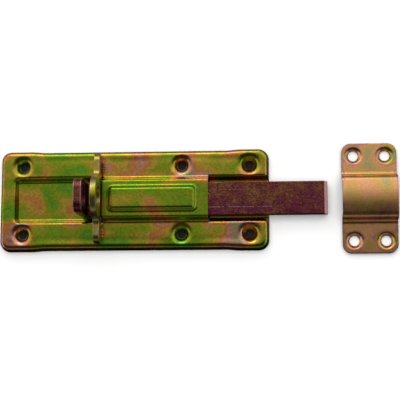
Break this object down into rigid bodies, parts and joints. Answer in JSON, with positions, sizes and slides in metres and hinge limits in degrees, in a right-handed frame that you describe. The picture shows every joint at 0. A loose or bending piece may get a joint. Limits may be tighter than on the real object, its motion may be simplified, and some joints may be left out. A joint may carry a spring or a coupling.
{
  "type": "toggle bolt latch",
  "caption": "Flat slide bolt for a padlock: a pressed plate guides a flat bar with a turned-up handle, an upright lug takes the padlock, and a bent keeper receives the bar.",
  "frame": {"origin": "centre of the base plate's back, on the mounting plane, midway between its four end screws", "axes": "+X along the bar, the way it is thrown; +Z out from the door; +Y across the plate"},
  "size_m": [0.2085, 0.0578, 0.027],
  "materials": {
    "plate_zinc": "yellow zinc-dichromate plating on smooth pressed steel, iridescent olive, gold and pink",
    "lug_zinc": "yellow zinc-dichromate plating on stamped steel, sheared edges",
    "weld_zinc": "yellow zinc-dichromate plating over a rough weld",
    "bolt_zinc": "violet and bronze zinc-dichromate plating on mill-finish flat bar, fine scratches",
    "keeper_zinc": "yellow zinc-dichromate plating on smooth bent strip, copper, gold and olive"
  },
  "bodies": {
    "plate": {"base_plate": "plate_zinc", "padlock_lug": "lug_zinc", "weld_bead_left": "weld_zinc", "weld_bead_right": "weld_zinc"},
    "bolt": {"bolt_bar": "bolt_zinc", "stop_rivet": "bolt_zinc"},
    "keeper": {"keeper": "keeper_zinc"}
  },
  "joints": [
    {"name": "bolt_slide", "type": "slide", "parent": "plate", "child": "bolt", "axis": [1, 0, 0], "range_m": [-0.031, 0]},
    {"name": "keeper_place", "type": "slide", "parent": "plate", "child": "keeper", "axis": [1, 0, 0], "range_m": [-0.035, 0]}
  ]
}
